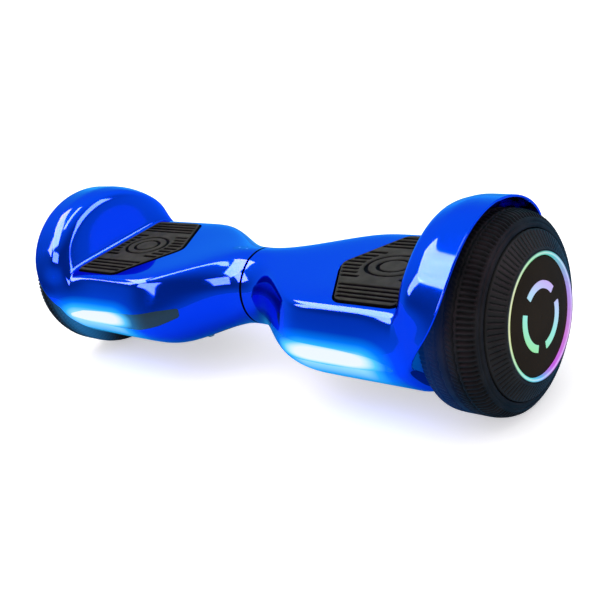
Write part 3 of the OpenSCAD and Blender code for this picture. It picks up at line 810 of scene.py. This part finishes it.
def span_at(outline, y):
    """The outline's lowest and highest x on a line of constant y."""
    found = []
    for p, q in zip(outline, np.roll(outline, -1, 0)):
        if min(p[1], q[1]) <= y <= max(p[1], q[1]):
            t = 0.0 if q[1] == p[1] else (y - p[1]) / (q[1] - p[1])
            found += [p[0], q[0]] if q[1] == p[1] else [p[0] + (q[0] - p[0]) * t]
    return min(found), max(found)


def edge_distance(outline, x, y):
    best = np.full(x.shape, 1e9)
    for p, q in zip(outline, np.roll(outline, -1, 0)):
        d = q - p
        t = np.clip(((x - p[0]) * d[0] + (y - p[1]) * d[1]) / (d @ d + 1e-12), 0, 1)
        best = np.minimum(best, np.hypot(x - p[0] - t * d[0], y - p[1] - t * d[1]))
    return best


PAD_EYE = (163.0, -3.0, 27.0, 19.0)


def pad_grooves(outline):
    """Straight grooves as [x from, x to, y]: long ones at the ends, short ones beside the smooth middle."""
    out = []
    for y in [-60.2 + 6.4 * k for k in range(4)] + [31.0 + 6.0 * k for k in range(4)]:
        low, high = span_at(outline, y)
        out.append((low + 4.2, high - 4.2, y))
    cx, cy, rx, ry = PAD_EYE
    for y in np.arange(-26.0, 22.0, 6.4):
        low, high = span_at(outline, y)
        gap = (rx + 7) * math.sqrt(max(0.0, 1 - ((y - cy) / (ry + 12)) ** 2))
        out.append((low + 4.2, cx - gap, y))
        if high - 4.2 > cx + gap + 3:
            out.append((cx + gap, high - 4.2, y))
    return out


def pad_relief(outline, x, y):
    sink = np.zeros(x.shape)
    for x0, x1, yc in pad_grooves(outline):
        off = np.hypot(np.maximum(np.maximum(x0 - x, x - x1), 0), y - yc)
        sink = np.maximum(sink, 2.2 * ramp01(2.35, 1.55, off))
    cx, cy, rx, ry = PAD_EYE
    ring = np.hypot((x - cx) / rx, (y - cy) / ry)
    for level in (1.0, 0.58):
        sink = np.maximum(sink, 1.8 * ramp01(1.7, 1.0, np.abs(ring - level) * ry))
    return sink


def foot_pad(tag, side, half):
    outline = grown(PAD_OUTLINE, -0.3)
    edge = 2.2
    rows = spaced(outline[:, 1].min() + 0.001, outline[:, 1].max() - 0.001, 0.62, edge)
    shares = spaced(0.0, 1.0, 1 / 110, 0.025)
    spans = np.array([span_at(outline, y) for y in rows])
    x = spans[:, :1] + (spans[:, 1:] - spans[:, :1]) * shares[None]
    y = np.repeat(rows[:, None], len(shares), 1)
    off = np.minimum(edge_distance(outline, x, y), edge)
    drop = edge - np.sqrt(np.maximum(edge**2 - (edge - off) ** 2, 0))
    z = PAD_TOP - drop - pad_relief(outline, x, y) * ramp01(1.0, 3.0, off + 0.8)
    n, m = x.shape
    top = np.stack([x, y, z], -1).reshape(-1, 3)
    rim = [*range(m), *(i * m + m - 1 for i in range(1, n)), *((n - 1) * m + k for k in range(m - 2, -1, -1)),
           *(i * m for i in range(n - 2, 0, -1))]
    foot = top[rim] * [1, 1, 0] + [0, 0, PAD_FOOT]
    faces = grid_faces(n, m).tolist()
    count = len(rim)
    faces += [[rim[k], rim[(k + 1) % count], n * m + (k + 1) % count, n * m + k] for k in range(count)]
    faces.append(list(range(n * m, n * m + count)))
    pad = facing_out(new_object(f"pad_mat_{tag}", mirrored(np.concatenate([top, foot]), side), faces))
    finished(crease_sharply(pad, 50), half + "_pad", f"foot_pad_{tag}", PAD)


for tag, side, half in SIDES:
    foot_pad(tag, side, half)


# ---------------------------------------------------------------- wheels
TREAD_PITCHES = 120
GROOVE_LINES = (-12.0, -4.0, 4.0, 12.0)
RIB_COUNT = 84
MOTIF_INNER, MOTIF_OUTER = 21.85, 28.15
MOTIF_SWEEP = 92.2


def band(x, low, high, soft=0.8):
    return ramp01(low - soft, low + soft, x) * ramp01(high + soft, high - soft, x)


def tread_relief(r, x, angle):
    """Zigzag grooves round the tread, slots over both shoulders and slanted cuts between them."""
    turn = angle / (2 * np.pi) * TREAD_PITCHES
    across = x - (CROWN_FROM + CROWN_TO) / 2
    crown = ramp01(70, 74, r)
    zigzag = np.abs((turn / 2) % 1 - 0.5) * 4 - 1
    sink = np.zeros(np.broadcast(turn, x).shape)
    for centre in GROOVE_LINES:
        sink = np.maximum(sink, 1.6 * ramp01(1.1, 0.45, np.abs(across - centre - 0.5 * zigzag)))
    slot = ramp01(0.28, 0.18, np.abs(turn % 1 - 0.5))
    shoulder = band(np.abs(across), 15.0, 29.0, 0.6) * ramp01(75.6, 77.0, r)
    sink = np.maximum(sink, 2.6 * slot * shoulder)
    slant = ramp01(0.22, 0.12, np.abs((turn + across * 0.12) % 1 - 0.5))
    rib = band(np.abs(across), 5.4, 10.6, 0.4)
    sink = np.maximum(sink, 0.8 * slant * rib)
    bead = 0.5 * ramp01(0.9, 0.3, np.abs(r - 72.5)) * (across > 20)
    return sink * crown + bead


def tyre(tag, side, half):
    inner_side = [(60, 231), (66, 228.6), (74, 228), (79, 229.6), (81.4, 233)]
    crown = [(82.2, 237), (TYRE_R, CROWN_FROM), (TYRE_R, CROWN_TO), (82.2, 267)]
    outer_side = [(81.2, 271.5), (79.3, 276), (75, 279.4), (69.5, 281.4), (67.7, 281.2), (67.7, 278.4)]
    profile = inner_side + crown + outer_side + [(60, 276.6)]
    fine = split_up(softened(profile, 1.6, 3), 0.7, 68.0)
    obj = revolve(f"tyre_tread_{tag}", side, fine, TREAD_PITCHES * 6, tread_relief)
    finished(obj, half + "_wheel", f"tyre_{tag}", TYRE)


def rib_relief(r, x, angle):
    turn = angle / (2 * np.pi) * RIB_COUNT
    cut = ramp01(0.16, 0.06, np.abs(turn % 1 - 0.5))
    cone = ramp01(53.0, 54.2, r) * ramp01(66.4, 65.6, r) * (x > 282.0)
    return 1.2 * cut * cone


def outer_cover(tag, side, half):
    profile = [(17.5, 268), (21, 268), (21, 276.6), (60, 276.6), (66.8, 278.8), (67.1, 282.4), (52.6, 290.6),
               (51.2, 290.8), (51.2, 287.4), (62, 281.4), (60, 280), (17.5, 280)]
    fine = split_up(softened(profile, 0.6, 3), 0.7, 51.0)
    obj = revolve(f"ribbed_cover_{tag}", side, fine, RIB_COUNT * 8, rib_relief)
    finished(crease_sharply(obj, 60), half + "_wheel", f"outer_cover_{tag}", COVER)


def light_ring(tag, side, half):
    foot, middle = 288.1, (RING_INNER + RING_OUTER) / 2
    profile = [(RING_INNER, foot), (RING_OUTER, foot), (RING_OUTER, RING_X), (middle, RING_X - 0.5),
               (RING_INNER, RING_X)]
    obj = revolve(f"glow_ring_{tag}", side, softened(profile, 0.9, 5), 240)
    finished(obj, half + "_wheel", f"light_ring_{tag}", RING)


def arc_outline(r1, r2, start, sweep):
    """A stretch of ring as an outline in y and z, from an angle measured as the CAD turns it."""
    a = np.radians(np.linspace(start, start + sweep, 40))
    ring = [np.column_stack([r * np.sin(a), AXLE_Z - r * np.cos(a)]) for r in (r2, r1)]
    return np.concatenate([ring[0], ring[1][::-1]])


def hub_face(tag, side, half):
    profile = [(0.01, 291), (20, 290.8), (36, 290.2), (44, 289.5), (47.2, 288.9), (47.2, 288.1), (51, 288.1),
               (51, 285.5), (26, 285.5), (26, 280), (22, 280), (22, 285.5), (0.01, 285.5)]
    obj = revolve(f"hub_disc_{tag}", side, split_up(softened(profile, 0.5, 3), 4.0), 160)
    tools = []
    for k in range(3):
        pocket = arc_outline(MOTIF_INNER, MOTIF_OUTER, k * 120, MOTIF_SWEEP)
        tools.append(prism(pocket, *sorted((288.0 * side, 292.0 * side)), axis="x"))
    carve(obj, tools)
    finished(crease_sharply(obj, 30), half + "_wheel", f"hub_face_{tag}", GLOSS)


for tag, side, half in SIDES:
    tyre(tag, side, half)
    outer_cover(tag, side, half)
    light_ring(tag, side, half)
    hub_face(tag, side, half)


# ---------------------------------------------------------------- charging socket's cap
def socket_cap():
    """A soft disc with a sunk ring, a lifting tab below and the barrel of its hinge above."""
    low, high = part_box("charge_cap")
    seat, top, r = low.y / MM, low.y / MM + 2.5, 13.5
    sunk_ring = [(10.4, top), (9.9, top - 0.6), (9.1, top - 0.6), (8.6, top)]
    profile = [(0.01, seat), (r, seat), (r, top - 1.0), (r - 1.6, top), *sunk_ring, (0.01, top + 0.3)]
    cap = revolve("cap_disc", 1, split_up(softened(profile, 0.5, 3), 2.0), 96)
    to_socket = Matrix.Translation(Vector((-REAR_X, 0, REAR_Z - AXLE_Z)) * MM)
    cap.data.transform(to_socket @ Matrix.Rotation(math.pi / 2, 4, "Z"))
    socket = np.array([-REAR_X, REAR_Z])
    barrel_r, half_width = 2.0, 4.0
    hinge_y, hinge_z = high.y / MM - barrel_r, high.z / MM - barrel_r
    tab = softened(socket + [(-4, -15.2), (4, -15.2), (5, -11), (-5, -11)], 1.6, 4)
    reach = hinge_z - REAR_Z
    strap = socket + [(-half_width, 9), (half_width, 9), (half_width, reach), (-half_width, reach)]
    carve(cap, [
        prism(tab, seat + 0.3, top - 0.6, axis="y"),
        prism(strap, seat, top - 0.2, axis="y"),
        prism(disc_outline(hinge_y, hinge_z, barrel_r, 32), -REAR_X - 4.2, -REAR_X + 4.2, axis="x"),
    ], "UNION")
    finished(crease_sharply(cap, 40), "charge_cap", "charge_cap", CAP)


socket_cap()


# ---------------------------------------------------------------- CAD nodes that stay
def dress(node, material, round_off=0.0):
    """Gives a CAD node its material, and rounds its sharp edges by a few tenths of a millimetre."""
    obj = nodes[node]
    obj.data.materials.clear()
    obj.data.materials.append(material)
    if round_off:
        obj.modifiers.new("weld", "WELD").merge_threshold = 1e-6
        bevel = obj.modifiers.new("round", "BEVEL")
        bevel.width = round_off * MM
        bevel.segments = 2
        bevel.angle_limit = math.radians(40)
        bevel.harden_normals = True


# each node's material and the rounding of its edges in millimetres
PAIRED = {
    "frame": (CAST, 0.5), "axle_clamp": (CAST, 0.5), "pad_carrier": (MOULDED, 0.3),
    "sensor_board": (BOARD, 0), "headlight_board": (BOARD, 0), "body_screws": (STEEL, 0.2),
    "rim": (SPUN, 0.3), "inner_cover": (SPUN, 0.4), "magnets": (NICKEL, 0.3), "stator": (LAMINATE, 0),
    "windings": (WIRE, 0.5), "axle": (STEEL, 0.3), "wheel_bearings": (STEEL, 0.2), "hub_motif": (MOTIF, 0.15),
}
SINGLE = {
    "pivot_shaft": (STEEL, 0.3), "pivot_bushes": (BRONZE, 0.2), "shaft_clip": (STEEL, 0.15),
    "shaft_pins": (STEEL, 0.3), "neck_seal": (SOFT_BLACK, 0.2), "cross_cable": (SOFT_BLACK, 0),
    "battery_pack": (WRAP, 1.5), "battery_strap": (SPUN, 0.3), "main_board": (BOARD, 0),
    "heat_sink": (CAST, 0.2), "charge_port": (MOULDED, 0.4), "charge_pins": (GOLD, 0.2),
    "power_bezel": (MOULDED, 0.5), "power_button": (BRUSHED, 0.3),
}
for name, (material, round_off) in PAIRED.items():
    for tag, _, _ in SIDES:
        dress(f"{name}_{tag}", material, round_off)
for name, (material, round_off) in SINGLE.items():
    dress(name, material, round_off)


# ---------------------------------------------------------------- floor, light and camera
def direction(azimuth, elevation):
    """Unit vector, with azimuth counted from straight ahead of the board towards its right."""
    a, e = math.radians(azimuth), math.radians(elevation)
    return Vector((math.sin(a) * math.cos(e), -math.cos(a) * math.cos(e), math.sin(e)))


# soft boxes that the gloss mirrors: azimuth, elevation, half width and half height in degrees, brightness
SOFT_BOXES = [
    (-68, 50, 22, 8, 12.0), (-57, 33, 7, 9, 10.0), (-17, 33, 14, 10, 8.0), (-85, 66, 14, 4, 11.0),
    (114, 27, 14, 14, 9.0),
]


def box_mask(g, look, azimuth, elevation, half_w, half_h):
    """1 where a direction meets a soft box, and 0 elsewhere."""
    ahead = direction(azimuth, elevation)
    across = Vector((0, 0, 1)).cross(ahead).normalized()
    depth = g.math("MAXIMUM", g.dot(look, ahead), 0.001)
    mask = g.smooth(depth, 0.2, 0.3)
    for axis, half in ((across, half_w), (ahead.cross(across), half_h)):
        place = g.math("ABSOLUTE", g.math("DIVIDE", g.dot(look, axis), depth))
        edge = math.tan(math.radians(half))
        mask = g.math("MULTIPLY", mask, g.smooth(place, edge * 1.06, edge * 0.94))
    return mask


def studio():
    """White to the camera, an even light on matt faces, and a blue room with soft boxes in the gloss."""
    world = bpy.data.worlds.new("studio")
    world.use_nodes = True
    bpy.context.scene.world = world
    g = Graph(world.node_tree)

    def background(colour, strength):
        return g.node("Background", {"Color": (*colour, 1), "Strength": strength}).outputs[0]

    look = g.node("TexCoord").outputs["Generated"]
    height = g.node("SeparateXYZ", {0: look}).outputs["Z"]
    behind = g.smooth(g.dot(look, direction(-150, 45)), -0.1, 0.9)
    horizon = g.math("POWER", math.e, g.math("MULTIPLY", g.math("MULTIPLY", height, height), -25.0))
    base = g.math("ADD", g.math("MULTIPLY_ADD", behind, 0.8, 0.24), g.math("MULTIPLY", horizon, 0.4))
    room = background((0.04, 0.66, 1.0), base)

    # only the first mirror image shows the boxes, so that they don't repeat in the folds
    rays = g.node("LightPath").outputs
    first = g.math("LESS_THAN", rays["Glossy Depth"], 1.5)
    cloud = g.node("TexNoise", {"Vector": look, "Scale": 14.0, "Detail": 3.0}).outputs["Fac"]
    shine = 0.0
    for *box, power in SOFT_BOXES:
        glow = g.math("MULTIPLY_ADD", cloud, power * 0.5, power * 0.75)
        shine = g.math("MULTIPLY_ADD", box_mask(g, look, *box), glow, shine)
    boxes = background((1.0, 0.6, 0.95), g.math("MULTIPLY", shine, first))

    mirrored_light = g.node("AddShader", {0: room, 1: boxes}).outputs[0]
    soft_light = background((0.97, 0.98, 1.0), 1.05)
    seen = g.node("MixShader", {0: rays["Is Glossy Ray"], 1: soft_light, 2: mirrored_light}).outputs[0]
    seen = g.node("MixShader", {0: rays["Is Camera Ray"], 1: seen, 2: background((1, 1, 1), 1.0)}).outputs[0]
    g.plug(g.tree.nodes["World Output"].inputs["Surface"], seen)


def pale_floor():
    bpy.ops.mesh.primitive_plane_add(size=60)
    floor = bpy.context.object
    floor.name = "floor"
    m = Material("pale_floor", (244, 245, 248), rough=0.8, Specular_IOR_Level=0.2)
    # painted reflection: seen in the gloss, the floor's glow and colour turn azure, so that the board's
    # underside shows blue
    mirrored = m.node("LightPath").outputs["Is Glossy Ray"]
    m.set(Emission_Color=m.mix(mirrored, rgb((244, 244, 250)), (0.0, 0.25, 0.55, 1)), Emission_Strength=0.5)
    m.set(Base_Color=m.mix(mirrored, rgb((246, 244, 240)), rgb((40, 150, 210))))
    floor.data.materials.append(m.data)


def key_light(azimuth, elevation, power):
    """Wide and far away, so that the floor is lit evenly out to the horizon."""
    data = bpy.data.lights.new("key", "SUN")
    data.angle = math.radians(35)
    data.energy = power
    obj = bpy.data.objects.new("key", data)
    obj.rotation_euler = direction(azimuth, elevation).to_track_quat("Z", "Y").to_euler()
    obj.visible_glossy = False
    bpy.context.scene.collection.objects.link(obj)


def camera():
    """Looks down at the board from its front right, with a tilted horizon."""
    azimuth, elevation, roll = 46.4, 23.5, math.radians(-15.7)
    spot = (0.6339, -0.5672, 0.4284)
    back = direction(azimuth, elevation)
    right = Vector((0, 0, 1)).cross(back).normalized()
    up = back.cross(right)
    rolled = Matrix((
        right * math.cos(roll) + up * math.sin(roll),
        up * math.cos(roll) - right * math.sin(roll),
        back,
    )).transposed()
    data = bpy.data.cameras.new("camera")
    data.lens = 56.86
    obj = bpy.data.objects.new("camera", data)
    obj.matrix_world = Matrix.Translation(spot) @ rolled.to_4x4()
    bpy.context.scene.collection.objects.link(obj)
    bpy.context.scene.camera = obj


studio()
pale_floor()
key_light(-50, 66, 0.6)
camera()
bpy.context.scene.view_settings.view_transform = "Standard"
